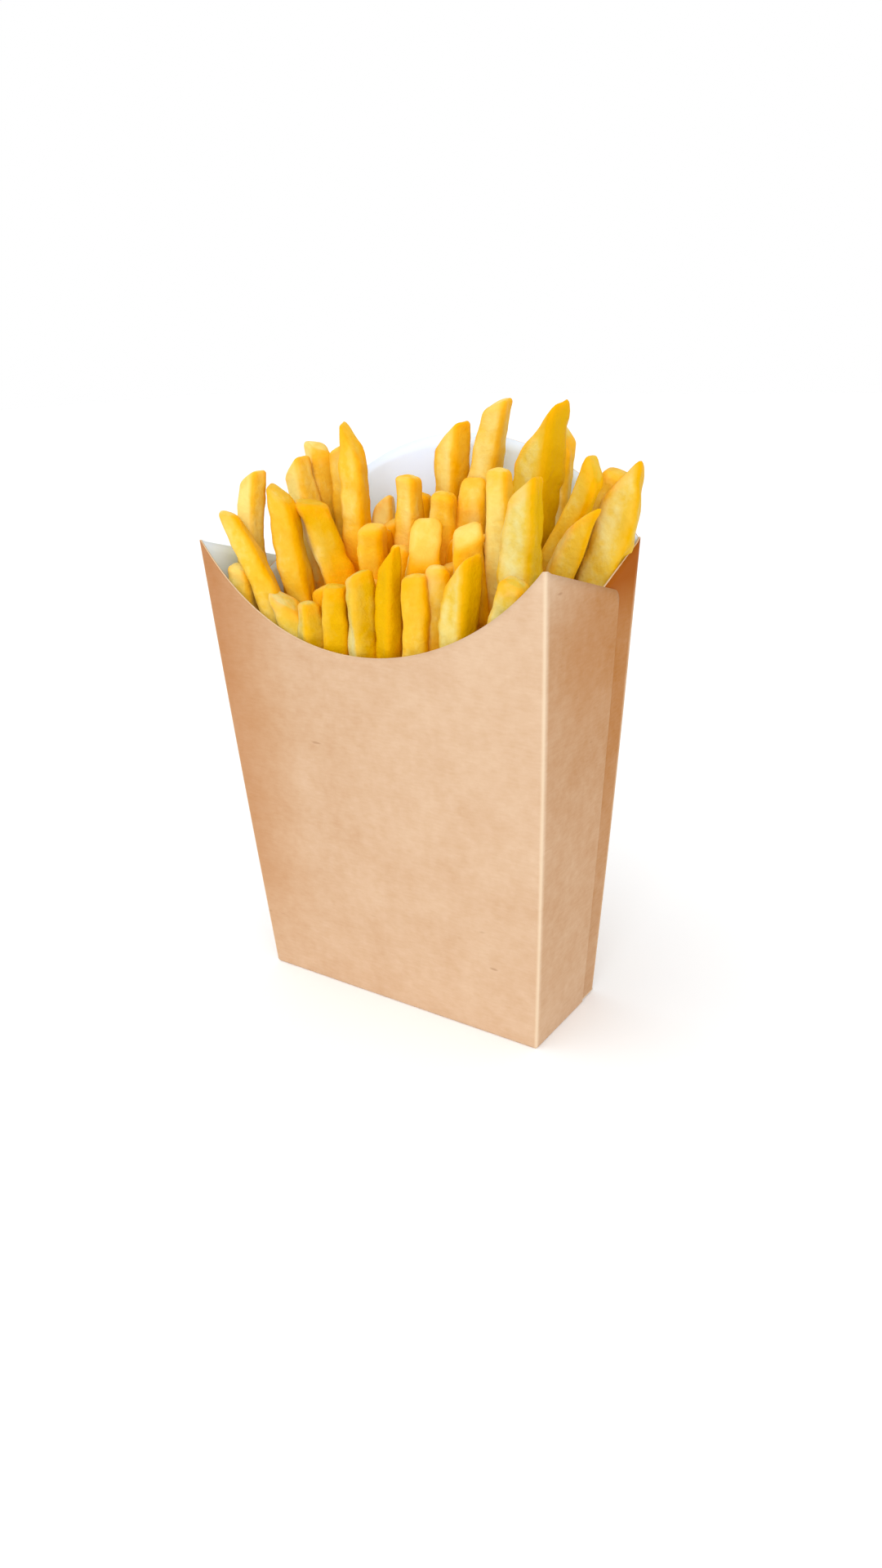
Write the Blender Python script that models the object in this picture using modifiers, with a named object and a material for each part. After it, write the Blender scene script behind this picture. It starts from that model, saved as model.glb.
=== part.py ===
"""French fries standing in an open-topped kraft board carton.

Metres, +Z up. The origin is the middle of the carton's underside, the cut-away front faces -Y, and the
arched back faces +Y. Lengths in this file are in millimetres and are scaled by MM when a mesh is made.
"""

import math
import random
from collections import namedtuple

import bmesh
import bpy
from mathutils import Vector

MM = 0.001

# Carton: a tapered box, narrow at the base, with a scooped front and an arched back.
BASE_WIDTH, BASE_DEPTH = 85.4, 32.2
MOUTH_WIDTH, MOUTH_DEPTH = 97.8, 47.4
CORNER_HEIGHT = 121.0
SCOOP_HEIGHT = 96.6
SCOOP_SHIFT = -3.5
ARCH_HEIGHT = 143.5
BOARD = 0.45
FOLD_RADIUS = 0.9
WALL_FOOT = 0.1
BASE_SETBACK = 0.03

# Side walls: the front panel's flap is glued over the back panel's flap.
OUTER_FLAP_REACH = 0.77
OUTER_FLAP_FALL = 0.293
INNER_FLAP_REACH = 0.90
INNER_FLAP_FALL = 0.45
FLAP_CORNER_RADIUS = 2.5
GLUE_OVERLAP = 0.05

# Heap: a core up to HEAP_LEVEL, with the fries standing in it.
GAP = 0.3
HEAP_LEVEL = 95.0
FOOT_HEIGHT = 85.0
FRY_START = 80.0
EDGE_ROUNDING = 0.18
FILLER_SEED = 12
FILLER_ROWS = (-15, -10, -5, 0, 5, 10, 15)
FILLER_COLUMNS, FILLER_STEP = 22, 1.8
FILLER_LEVEL = 100.0
FILLER_SPACING = 6.0
FILLER_TOP, FILLER_MIDDLE = 127.0, 4.0
FALL_ACROSS, FALL_DEEP = 22.0, 30.0

ARC_STEPS = 20
FLAP_STEPS = 3
FOLD_STEPS = 2
ROUND_STEPS = 4

Fry = namedtuple("Fry", "foot tip bow size turn taper slope falls")
# foot: x, y at FOOT_HEIGHT. tip: x, y, z. bow: sideways bend along x. size: side of the square section.
# turn: degrees about its own length. taper: size of the tip as a share. slope: how far the end falls for each
# millimetre across it. falls: the direction it falls to, in degrees from +X.
FRONT_ROW = (
    Fry((-37.2, -17), (-41.8, -17.5, 115), -1, 6.4, 20, 0.85, 0.3, 0),
    Fry((-28.6, -15), (-45.1, -18, 128.9), 3.4, 6, 25, 0.55, 1.0, 0),
    Fry((-19, -15), (-30.3, -17.5, 111.4), 0, 7, 30, 0.8, 1.5, 0),
    Fry((-18.5, -16.5), (-20.4, -17.5, 107.2), 0, 6, -25, 0.75, 0.1, 0),
    Fry((-12, -16.5), (-12.3, -17, 112), 0, 6.4, 30, 0.9, 0.1, 0),
    Fry((-3.5, -16.5), (-4.2, -17.5, 116.8), 0, 6.5, -35, 0.9, 0.4, 180),
    Fry((3, -16.5), (6.2, -17.5, 123.3), -1, 5.25, -10, 0.6, 1.9, 180),
    Fry((11, -16.5), (12, -17.5, 116.5), 0, 6.2, 25, 0.95, 0.1, 180),
    Fry((15.8, -13), (15, -13, 118), 0, 5.8, 30, 0.9, 0.1, 0),
    Fry((20.4, -16), (25.2, -17, 123.2), 0, 7.1, -8, 0.9, 1.25, 180),
    Fry((28, -15.5), (38.3, -17.5, 117.3), 0, 7, 5, 0.9, 0.1, 0),
)
SECOND_ROW = (
    Fry((-42.2, -10), (-39.5, -11.5, 137.7), -2.8, 5.9, -3, 0.8, 0.8, 180),
    Fry((-23.5, -9), (-34.9, -9, 134.8), -0.8, 6.9, 18, 0.85, 1.1, 0),
    Fry((-15.5, -3), (-31, -3, 131.3), 2, 8.2, 45, 0.8, 0.7, 0),
    Fry((-10.8, -6), (-8.4, -5, 125), 0, 6.6, 20, 0.9, 0.2, -90),
    Fry((5, -8), (9.9, -9, 128), 0, 8.4, 35, 0.8, 1.5, -60),
    Fry((19.8, -4.5), (21, -10, 127.5), 0, 7.8, 34, 0.9, 0.6, -90),
    Fry((26.7, -4), (26.7, -5, 138.8), 0, 6.1, 14, 0.8, 0.1, 0),
    Fry((32.2, -10), (37.4, -11, 139), 0, 8.3, 5, 0.7, 1.1, 180),
)
THIRD_ROW = (
    Fry((-28, 3), (-39.3, 4, 139), 0, 7.1, -5, 0.85, 0.9, 180),
    Fry((-21, 4), (-22.2, 5, 148.5), 0.9, 6.6, 12, 0.7, 2.0, 0),
    Fry((-5, 2), (-3, 3, 135.4), 0, 5.9, 0, 0.9, 0.1, 0),
    Fry((5, 3), (7, 3, 132), 0, 7, 20, 0.8, 0.1, 0),
    Fry((23.2, 4), (46, 3, 132.2), 0, 6.1, 30, 0.7, 1.7, 180),
    Fry((10, 10), (11.5, 8, 135), 0, 7.6, 20, 0.8, 1.0, -70),
)
BACK_ROW = (
    Fry((-31.5, 12), (-37.4, 11, 142.8), 0, 7.4, -30, 0.78, 0.6, 0),
    Fry((-24, 10), (-30.1, 10, 141.3), 0, 6, 20, 0.8, 0.4, 180),
    Fry((-17, 12), (-18, 12, 129.8), 0, 6, 20, 0.8, 0.8, 180),
    Fry((-9, 15), (-9, 16, 129.5), 0, 6, 10, 0.8, 0.1, 0),
    Fry((-3.2, 13), (3.4, 15, 148.3), -0.6, 6.9, -8, 0.93, 1.1, 180),
    Fry((8, 16), (15.8, 15, 153.3), -4, 7.7, 12, 0.65, 0.8, 200),
    Fry((19.5, 12), (31, 12, 154), -1, 10.5, -11, 0.6, 2.3, 180),
    Fry((26, 17), (30.4, 17.5, 150), 0, 7.5, 10, 0.7, 1.4, 0),
    Fry((19, 7), (45, 8, 140.4), 0, 5.9, 5, 0.8, 1.2, 0),
    Fry((33, 17), (44.6, 18.5, 136.5), 0, 8, 10, 0.9, 0.1, 0),
    Fry((26.5, 8.5), (47, 19, 139.6), 5.2, 9.6, 15, 0.6, 1.6, 180),
)


def clear_scene():
    for item in list(bpy.data.objects):
        bpy.data.objects.remove(item, do_unlink=True)


def make_collection(name):
    group = bpy.data.collections.new(name)
    bpy.context.scene.collection.children.link(group)
    return group


def make_material(name, colour, roughness):
    material = bpy.data.materials.new(name)
    material.use_nodes = True
    surface = material.node_tree.nodes["Principled BSDF"]
    surface.inputs["Base Color"].default_value = (*colour, 1.0)
    surface.inputs["Roughness"].default_value = roughness
    surface.inputs["Metallic"].default_value = 0.0
    return material


def make_object(bm, name, group, material=None):
    bmesh.ops.scale(bm, vec=Vector((MM, MM, MM)), verts=bm.verts)
    bmesh.ops.recalc_face_normals(bm, faces=bm.faces)
    mesh = bpy.data.meshes.new(name)
    bm.to_mesh(mesh)
    bm.free()
    item = bpy.data.objects.new(name, mesh)
    if material:
        mesh.materials.append(material)
    group.objects.link(item)
    return item


def make_cutter(item):
    item.hide_render = True
    item.display_type = "WIRE"
    return item


def half_width(z):
    return (BASE_WIDTH + (MOUTH_WIDTH - BASE_WIDTH) * z / CORNER_HEIGHT) / 2


def half_depth(z):
    return (BASE_DEPTH + (MOUTH_DEPTH - BASE_DEPTH) * z / CORNER_HEIGHT) / 2


def arc_radius(rise):
    """Radius of the circular arc that rises or falls by this much over the mouth's half width."""
    half_chord = half_width(CORNER_HEIGHT)
    return (half_chord**2 + rise**2) / (2 * rise)


def panel_columns(lowest_or_highest, shift):
    """(share of the half width, height of the top edge) along a front or back panel, left to right.

    The arc's lowest or highest point lies aside of the middle by shift, and its ends stay at the corners.
    """
    rise = abs(CORNER_HEIGHT - lowest_or_highest)
    radius = arc_radius(rise)
    widest = math.asin(half_width(CORNER_HEIGHT) / radius)
    bend = 1 if lowest_or_highest < CORNER_HEIGHT else -1
    columns = []
    for step in range(ARC_STEPS + 1):
        angle = widest * (2 * step / ARC_STEPS - 1)
        top = lowest_or_highest + bend * radius * (1 - math.cos(angle))
        x = radius * math.sin(angle)
        x += shift * (1 - (x / half_width(CORNER_HEIGHT)) ** 2)
        columns.append((x / half_width(top), top))
    return columns


def flap_columns(reach, fall):
    """(share of the side's depth from the fold, height of the top edge) along a side flap."""
    slope = (MOUTH_DEPTH - BASE_DEPTH) / CORNER_HEIGHT / 2
    round_share = FLAP_CORNER_RADIUS / MOUTH_DEPTH
    shares = [(reach - round_share) * (step + 1) / FLAP_STEPS for step in range(FLAP_STEPS)]
    shares += [reach - round_share * (1 - math.sin(math.radians(90 * (step + 1) / ROUND_STEPS)))
               for step in range(ROUND_STEPS)]
    columns = []
    for share in shares:
        side = 1 - 2 * share
        top = CORNER_HEIGHT - fall * (MOUTH_DEPTH / 2 - BASE_DEPTH / 2 * side)
        top /= 1 - fall * slope * side
        past = max(0.0, (share - (reach - round_share)) / round_share)
        top -= FLAP_CORNER_RADIUS * (1 - math.sqrt(max(0.0, 1 - past**2)))
        columns.append((share, top))
    return columns


def wall_lines(top_of_panel, shift, reach, fall, inset):
    """Bottom and top points of each column of one panel with its two side flaps, right flap first.

    The panel faces -Y. inset moves the side flaps inwards, under another flap.
    """
    def panel_point(share, z):
        return Vector((share * (half_width(z) - inset - FOLD_RADIUS), -half_depth(z), z))

    def fold_point(angle, z):
        across = half_width(z) - inset - FOLD_RADIUS * (1 - math.cos(angle))
        return Vector((across, -half_depth(z) + FOLD_RADIUS * (1 - math.sin(angle)), z))

    def flap_point(share, z):
        return Vector((half_width(z) - inset, -half_depth(z) * (1 - 2 * share), z))

    def pair(point, top):
        return point(WALL_FOOT), point(top)

    right = []
    for share, top in reversed(flap_columns(reach, fall)):
        right.append(pair(lambda z: flap_point(share, z), top))
    for step in range(FOLD_STEPS + 1):
        angle = math.radians(90 * step / FOLD_STEPS)
        right.append(pair(lambda z: fold_point(angle, z), CORNER_HEIGHT))
    front = []
    for share, top in reversed(panel_columns(top_of_panel, shift)[1:-1]):
        front.append(pair(lambda z: panel_point(share, z), top))
    left = [tuple(Vector((-p.x, p.y, p.z)) for p in ends) for ends in reversed(right)]
    return right + front + left


def make_wall(name, group, lines, thickness, grow=0.0, turned=False):
    """A folded sheet through the lines, made solid inwards; grow makes it larger on all sides."""
    bm = bmesh.new()
    bmesh.ops.create_grid(bm, x_segments=len(lines) - 1, y_segments=1, size=1.0)
    count = len(lines) - 1
    for vertex in bm.verts:
        foot, top = lines[round((vertex.co.x + 1) / 2 * count)]
        rise = Vector((0, 0, grow))
        place = top + rise if vertex.co.y > 0 else foot - rise
        vertex.co = Vector((-place.x, -place.y, place.z)) if turned else place
    wall = make_object(bm, name, group)
    shell = wall.modifiers.new("board", "SOLIDIFY")
    shell.thickness = (thickness + 2 * grow) * MM
    shell.offset = -1 + 2 * grow / (thickness + 2 * grow)
    shell.use_even_offset = True
    shell.use_quality_normals = True
    return wall


def make_block(name, group, low, high, inset_x, inset_y):
    """A closed block between two heights that follows the carton's taper, inset from its outside."""
    bm = bmesh.new()
    bmesh.ops.create_cube(bm, size=2.0)
    for vertex in bm.verts:
        z = high if vertex.co.z > 0 else low
        x = math.copysign(half_width(z) - inset_x, vertex.co.x)
        y = math.copysign(half_depth(z) - inset_y, vertex.co.y)
        vertex.co = Vector((x, y, z))
    return make_object(bm, name, group)


def combine(item, other, operation):
    change = item.modifiers.new(operation.lower(), "BOOLEAN")
    change.operation = operation
    change.solver = "EXACT"
    if isinstance(other, bpy.types.Collection):
        change.operand_type = "COLLECTION"
        change.collection = other
    else:
        change.object = other


def wall_pair(name, group, grow=0.0):
    front = wall_lines(SCOOP_HEIGHT, SCOOP_SHIFT, OUTER_FLAP_REACH, OUTER_FLAP_FALL, 0.0)
    back = wall_lines(ARCH_HEIGHT, 0.0, INNER_FLAP_REACH, INNER_FLAP_FALL, BOARD - GLUE_OVERLAP)
    return (make_wall(name + "_front", group, front, BOARD, grow),
            make_wall(name + "_back", group, back, BOARD, grow, turned=True))


def make_carton(group, cutters):
    front, back = wall_pair("wall", cutters)
    base = make_block("carton", group, 0.0, BOARD, BOARD - BASE_SETBACK, BOARD / 2)
    base.data.materials.append(make_material("kraft_board", (0.75, 0.52, 0.33), 0.75))
    for wall in (front, back):
        combine(base, make_cutter(wall), "UNION")
    return base


def heap_height(place):
    """Height of the heap between the placed fries: highest near the middle, lower towards every wall."""
    across = place.x / half_width(CORNER_HEIGHT)
    deep = (place.y - FILLER_MIDDLE) / half_depth(CORNER_HEIGHT)
    return FILLER_TOP - FALL_ACROSS * across**2 - FALL_DEEP * deep**2


def fillers():
    """Shorter fries in the places between the placed ones."""
    chance = random.Random(FILLER_SEED)
    taken = [at_height(fry, FILLER_LEVEL) for fry in placed_fries()]
    found = []
    for y in FILLER_ROWS:
        for column in range(-FILLER_COLUMNS, FILLER_COLUMNS + 1):
            place = Vector((column * FILLER_STEP + chance.uniform(-0.8, 0.8), y + chance.uniform(-0.8, 0.8)))
            top = heap_height(place) - chance.uniform(0, 6)
            lean = chance.uniform(-2, 2) + place.x * 0.05
            size, turn = chance.uniform(5.8, 7.2), chance.uniform(0, 90)
            if min((place - other).length for other in taken) < FILLER_SPACING:
                continue
            taken.append(place)
            found.append(Fry(tuple(place), (place.x + lean, place.y, top), 0, size, turn, 0.85, 0.3, 57 * top))
    return found


def placed_fries():
    return FRONT_ROW + SECOND_ROW + THIRD_ROW + BACK_ROW


def axis_point(fry, share):
    """A point of the fry's centreline: share is 0 at its foot and 1 at its tip."""
    foot = Vector((*fry.foot, FOOT_HEIGHT))
    point = foot.lerp(Vector(fry.tip), share)
    point.x += 4 * fry.bow * share * (1 - share)
    return point


def at_height(fry, z):
    return axis_point(fry, (z - FOOT_HEIGHT) / (fry.tip[2] - FOOT_HEIGHT)).xy


def section_ring(fry, centre, along, share_of_size, slope):
    """Eight corners of the fry's chamfered square section, lower towards the side it falls to."""
    side = Vector((math.cos(math.radians(fry.turn)), math.sin(math.radians(fry.turn)), 0))
    side = (side - along * side.dot(along)).normalized()
    depth = along.cross(side)
    falls = Vector((math.cos(math.radians(fry.falls)), math.sin(math.radians(fry.falls)), 0))
    half = fry.size / 2 * share_of_size
    short = half * (1 - 2 * EDGE_ROUNDING)
    corners = ((half, -short), (half, short), (short, half), (-short, half),
               (-half, short), (-half, -short), (-short, -half), (short, -half))
    offsets = [side * a + depth * b for a, b in corners]
    reach = max(offset.dot(falls) for offset in offsets)
    return [centre + offset - along * slope * (offset.dot(falls) + reach) for offset in offsets]


def make_fry(name, group, fry):
    """A square stick lofted along its bent centreline, narrowed and cut at a slope at its tip."""
    rise = fry.tip[2] - FOOT_HEIGHT
    start = (FRY_START - FOOT_HEIGHT) / rise
    blunt = 1 - fry.size * (1.2 * (1 - fry.taper) + 1.35 * fry.slope * fry.taper) / rise
    stations = [(start, 1.0, 0.0), ((start + blunt) / 2, 1.0, 0.0), (blunt, 0.97, 0.0), (1.0, fry.taper, fry.slope)]
    bm = bmesh.new()
    rings = []
    for share, scale, slope in stations:
        along = (axis_point(fry, share + 0.01) - axis_point(fry, share - 0.01)).normalized()
        rings.append([bm.verts.new(p) for p in section_ring(fry, axis_point(fry, share), along, scale, slope)])
    for low, high in zip(rings, rings[1:]):
        for index in range(8):
            following = (index + 1) % 8
            bm.faces.new((low[index], low[following], high[following], high[index]))
    bm.faces.new(list(reversed(rings[0])))
    bm.faces.new(rings[-1])
    return make_cutter(make_object(bm, name, group))


def make_heap(group, cutters, sticks):
    heap = make_block("fries", group, BOARD + GAP, HEAP_LEVEL, 2 * BOARD + GAP, BOARD + GAP)
    heap.data.materials.append(make_material("fried_potato", (0.86, 0.55, 0.10), 0.45))
    for number, fry in enumerate(placed_fries() + tuple(fillers())):
        make_fry(f"stick_{number}", sticks, fry)
    combine(heap, sticks, "UNION")
    for wall in wall_pair("clearance", cutters, GAP):
        combine(heap, make_cutter(wall), "DIFFERENCE")
    return heap


def main():
    clear_scene()
    parts = make_collection("fries_in_carton")
    cutters = make_collection("cutters")
    sticks = make_collection("stick_cutters")
    make_carton(parts, cutters)
    make_heap(parts, cutters, sticks)


main()
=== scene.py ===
# %% [markdown]
# # French fries in a kraft board carton
# The frame holds two solids: a folded carton, and a heap that stands for the fries. This lesson keeps their
# sizes and gives them their looks. The carton becomes two thin folded sheets of board, and the heap becomes
# loose fries that stand in a core of fried potato. Lengths are in millimetres until a mesh is made.

import random
from collections import namedtuple

import bpy
import numpy as np
from mathutils import Matrix, Vector


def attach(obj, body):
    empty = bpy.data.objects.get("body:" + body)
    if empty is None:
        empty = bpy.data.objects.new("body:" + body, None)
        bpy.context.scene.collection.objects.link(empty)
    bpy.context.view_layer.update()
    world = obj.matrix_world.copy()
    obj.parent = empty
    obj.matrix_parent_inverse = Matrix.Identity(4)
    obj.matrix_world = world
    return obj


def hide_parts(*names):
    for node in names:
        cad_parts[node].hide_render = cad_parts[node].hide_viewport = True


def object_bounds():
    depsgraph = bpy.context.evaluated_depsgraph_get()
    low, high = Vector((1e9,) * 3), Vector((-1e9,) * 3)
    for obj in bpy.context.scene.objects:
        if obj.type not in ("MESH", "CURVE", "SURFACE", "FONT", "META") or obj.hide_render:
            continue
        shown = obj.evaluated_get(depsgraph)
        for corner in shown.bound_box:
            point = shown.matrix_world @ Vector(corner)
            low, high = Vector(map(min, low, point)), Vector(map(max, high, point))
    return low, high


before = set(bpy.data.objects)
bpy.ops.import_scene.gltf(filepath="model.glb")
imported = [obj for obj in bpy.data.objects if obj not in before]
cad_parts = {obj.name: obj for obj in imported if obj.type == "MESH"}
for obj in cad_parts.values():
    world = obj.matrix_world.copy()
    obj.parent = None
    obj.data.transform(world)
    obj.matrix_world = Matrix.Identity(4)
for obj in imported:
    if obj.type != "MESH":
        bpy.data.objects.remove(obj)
cad_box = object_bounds()
MM = 0.001
cad_size = [round((high - low) / MM, 1) for low, high in zip(*cad_box)]
print("frame:", sorted(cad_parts), "size in mm:", cad_size)

# %% [markdown]
# ## Camera
# A carton like this is usually shown from a little above and from one side, close by, so that its upright
# edges spread towards the top. The camera is placed by angles around a point inside the carton. That is
# easier to read and to change than a position and three turns.

# %% Place the camera
AZIMUTH, ELEVATION, ROLL = np.radians((34.3, 21.5, -1.8))
AIM = Vector((5.4, 0.0, 58.5)) * MM
DISTANCE = 291.7 * MM
LENS, CLIP_START = 25.9, 0.01


def direction(azimuth, elevation):
    """A unit vector towards a place in the sky; azimuth is measured from the front to the right."""
    outward = np.cos(elevation)
    return Vector((np.sin(azimuth) * outward, -np.cos(azimuth) * outward, np.sin(elevation)))


towards = direction(AZIMUTH, ELEVATION)
level = Vector((np.cos(AZIMUTH), np.sin(AZIMUTH), 0.0))
turned = Matrix((level, towards.cross(level), towards)).transposed() @ Matrix.Rotation(ROLL, 3, "Z")
camera = bpy.data.objects.new("camera", bpy.data.cameras.new("camera"))
camera.data.lens = LENS
camera.data.clip_start = CLIP_START
camera.matrix_world = Matrix.Translation(AIM + towards * DISTANCE) @ turned.to_4x4()
bpy.context.scene.collection.objects.link(camera)
bpy.context.scene.camera = camera
print("camera at", [round(c / MM, 1) for c in camera.matrix_world.translation], "mm")

# %% [markdown]
# ## From arrays to meshes
# Every piece below is a grid of points worked out as one numpy array. A sheet keeps its four borders, and a
# tube joins its last column to its first. One helper makes the faces for both, and one puts points, faces
# and attributes into a mesh.

# %% Helpers for meshes
def grid_faces(rows, columns, closed=False):
    """Quads of a grid of points numbered row by row; closed joins the last column to the first."""
    low = np.arange(rows - 1)[:, None] * columns
    left = np.arange(columns if closed else columns - 1)[None, :]
    right = (left + 1) % columns
    return np.stack((low + left, low + right, low + columns + right, low + columns + left), -1).reshape(-1, 4)


def tube_faces(rows, columns):
    """The faces of a closed tube: its quads, and a fan at each end to two poles numbered after the grid."""
    ring, last = np.arange(columns), (rows - 1) * columns
    following = (ring + 1) % columns
    foot = np.stack((following, ring, np.full(columns, rows * columns)), -1)
    end = np.stack((last + ring, last + following, np.full(columns, rows * columns + 1)), -1)
    return grid_faces(rows, columns, closed=True), np.concatenate((foot, end))


def make_piece(name, points, faces, materials, attributes=None):
    """A smooth mesh object from points in millimetres, with one float attribute for each named array.

    faces is one array, or several with different numbers of corners.
    """
    mesh = bpy.data.meshes.new(name)
    blocks = faces if isinstance(faces, tuple) else (faces,)
    mesh.from_pydata((points.reshape(-1, 3) * MM).tolist(), [], sum((block.tolist() for block in blocks), []))
    for key, values in (attributes or {}).items():
        attribute = mesh.attributes.new(key, "FLOAT", "POINT")
        attribute.data.foreach_set("value", np.ravel(values).astype(np.float32))
    mesh.polygons.foreach_set("use_smooth", np.ones(len(mesh.polygons), bool))
    for material in materials:
        mesh.materials.append(material)
    piece = bpy.data.objects.new(name, mesh)
    bpy.context.scene.collection.objects.link(piece)
    print(name, len(mesh.vertices), "points,", len(mesh.polygons), "faces")
    return piece


# %% Helpers for materials
def linear(colour):
    """sRGB hex to linear light: c / 12.92 up to 0.04045, and ((c + 0.055) / 1.055) ** 2.4 above it."""
    parts = np.array([int(colour[i:i + 2], 16) for i in (1, 3, 5)]) / 255
    parts = np.where(parts <= 0.04045, parts / 12.92, ((parts + 0.055) / 1.055) ** 2.4)
    return (*parts.tolist(), 1.0)


def add(tree, kind, inputs=None, **settings):
    """Adds a node. settings are its own properties; inputs are plain values or the sockets that feed it."""
    made = tree.nodes.new(kind)
    for key, value in settings.items():
        setattr(made, key, value)
    for key, value in (inputs or {}).items():
        if isinstance(value, bpy.types.NodeSocket):
            tree.links.new(value, made.inputs[key])
        else:
            made.inputs[key].default_value = value
    return made


def new_material(name):
    """An empty node material: the caller adds the surface and its pattern."""
    material = bpy.data.materials.new(name)
    material.use_nodes = True
    material.node_tree.nodes.clear()
    return material, material.node_tree


# %% [markdown]
# ## Kraft board
# Kraft is unbleached pulp pressed on a wire: warm brown, matt, clouded where the pulp settled thicker, with
# fine fibres that mostly lie level and a few dark shives. The inside is coated with white china clay; its
# brightener and a painted blue glow keep it white against the orange light from the fries, and a cut edge
# shows the cream core. Where the board is folded the top fibres stretch and turn pale, and the pale line is
# also a painted highlight along the fold. Where oil soaks in the board turns a deeper orange brown, and the
# same colour is painted shade beside the fries and down the front's left side.
# Outside, inside and cut edge are three small materials. Their patterns come from 3D noise, because it runs
# over a fold without a seam.

# %% Materials of the board
# Sizes in mm: thick and thin pulp, flocs, and fibres and dark shives, both drawn coarser than life to show.
CLOUD, FLOC, FIBRE, SHIVE = 16.0, 3.2, 0.9, 2.6
CLOUD_SHARE, FLOC_SHARE, FIBRE_SHARE, MOTTLE_START = 0.36, 0.34, 0.22, 0.46
LEVEL_FIBRES = (0.35, 0.35, 1.6)    # draws the pattern out sideways and packs it upwards
CLAY_STREAK, PLY = 6.0, 1.2         # mm: faint streaks of the coating, and the plies of a cut edge
# Painted light: a blue factor over 1 makes the coat give back more blue than reaches it, a glow that keeps
# the lining white against the orange light from the fries.
BRIGHTENER_AND_GLOW = (1.0, 1.0, 1.15, 1.0)  # unseen light turns to blue, so more blue leaves the coat than reaches it
SHIVE_START, SHIVE_FULL, SHIVE_DEPTH = 0.77, 0.83, 0.35    # only the highest peaks of the noise turn dark

kraft, tree = new_material("kraft_unbleached_pulp")
place = add(tree, "ShaderNodeTexCoord").outputs["Object"]
tone = add(tree, "ShaderNodeAttribute", attribute_name="tone").outputs["Fac"]
pale_crease_and_highlight = add(tree, "ShaderNodeAttribute", attribute_name="pale_crease_and_highlight").outputs["Fac"]
oil_and_shade = add(tree, "ShaderNodeAttribute", attribute_name="oil_and_shade").outputs["Fac"]
cloud = add(tree, "ShaderNodeTexNoise", {"Vector": place, "Scale": 1 / (CLOUD * MM), "Detail": 3.0})
floc = add(tree, "ShaderNodeTexNoise", {
    "Vector": place, "Scale": 1 / (FLOC * MM), "Detail": 4.0, "Roughness": 0.6})
lying = add(tree, "ShaderNodeMapping", {"Vector": place, "Scale": LEVEL_FIBRES})
fibre = add(tree, "ShaderNodeTexNoise", {
    "Vector": lying.outputs[0], "Scale": 1 / (FIBRE * MM), "Detail": 3.0})
mottle = tone
for pattern, share in ((cloud, CLOUD_SHARE), (floc, FLOC_SHARE), (fibre, FIBRE_SHARE)):
    mottle = add(tree, "ShaderNodeMath", {0: pattern.outputs["Fac"], 1: share, 2: mottle},
                 operation="MULTIPLY_ADD").outputs[0]
mottle = add(tree, "ShaderNodeMath", {0: mottle, 1: MOTTLE_START}, operation="SUBTRACT", use_clamp=True)
pulp = add(tree, "ShaderNodeMix", {0: mottle.outputs[0], 6: linear("#a86d2e"), 7: linear("#d8ba9c")},
           data_type="RGBA")
shive = add(tree, "ShaderNodeTexNoise", {
    "Vector": lying.outputs[0], "Scale": 1 / (SHIVE * MM), "Detail": 1.0})
shive = add(tree, "ShaderNodeMapRange", {
    0: shive.outputs["Fac"], 1: SHIVE_START, 2: SHIVE_FULL, 3: 0.0, 4: SHIVE_DEPTH})
flecked = add(tree, "ShaderNodeMix", {0: shive.outputs[0], 6: pulp.outputs[2], 7: linear("#8a5a30")},
              data_type="RGBA")
# This deeper orange colour is oil and also painted shade beside the fries and on the front's left.
oil_and_shade_colour = add(tree, "ShaderNodeMix", {0: oil_and_shade, 6: linear("#b47224"), 7: linear("#9e5100")}, data_type="RGBA")
oiled_and_shaded = add(tree, "ShaderNodeMix", {0: oil_and_shade, 6: flecked.outputs[2], 7: oil_and_shade_colour.outputs[2]}, data_type="RGBA")
# The pale crease colour is worn fibres and a painted highlight along the folds.
worn_and_lit = add(tree, "ShaderNodeMix", {0: pale_crease_and_highlight, 6: oiled_and_shaded.outputs[2], 7: linear("#e6d0b2")}, data_type="RGBA")
relief = add(tree, "ShaderNodeBump", {"Height": fibre.outputs["Fac"], "Distance": 0.03 * MM, "Strength": 0.5})
surface = add(tree, "ShaderNodeBsdfPrincipled", {
    "Base Color": worn_and_lit.outputs[2], "Roughness": 0.75, "IOR": 1.5, "Specular IOR Level": 0.1,
    "Normal": relief.outputs[0]})
add(tree, "ShaderNodeOutputMaterial", {"Surface": surface.outputs[0]})

clay, tree = new_material("white_clay_coating")
place = add(tree, "ShaderNodeTexCoord").outputs["Object"]
streak = add(tree, "ShaderNodeTexNoise", {"Vector": place, "Scale": 1 / (CLAY_STREAK * MM), "Detail": 3.0})
# A cool blue white, painted to stay white in the fries' orange light.
coat = add(tree, "ShaderNodeMix", {0: streak.outputs["Fac"], 6: linear("#e6f6ff"), 7: linear("#ecfaff")},
           data_type="RGBA")
white = add(tree, "ShaderNodeMix", {0: 1.0, 6: coat.outputs[2], 7: BRIGHTENER_AND_GLOW}, data_type="RGBA",
            blend_type="MULTIPLY")
surface = add(tree, "ShaderNodeBsdfPrincipled", {
    "Base Color": white.outputs[2], "Roughness": 0.5, "IOR": 1.5, "Specular IOR Level": 0.8})
add(tree, "ShaderNodeOutputMaterial", {"Surface": surface.outputs[0]})

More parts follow.
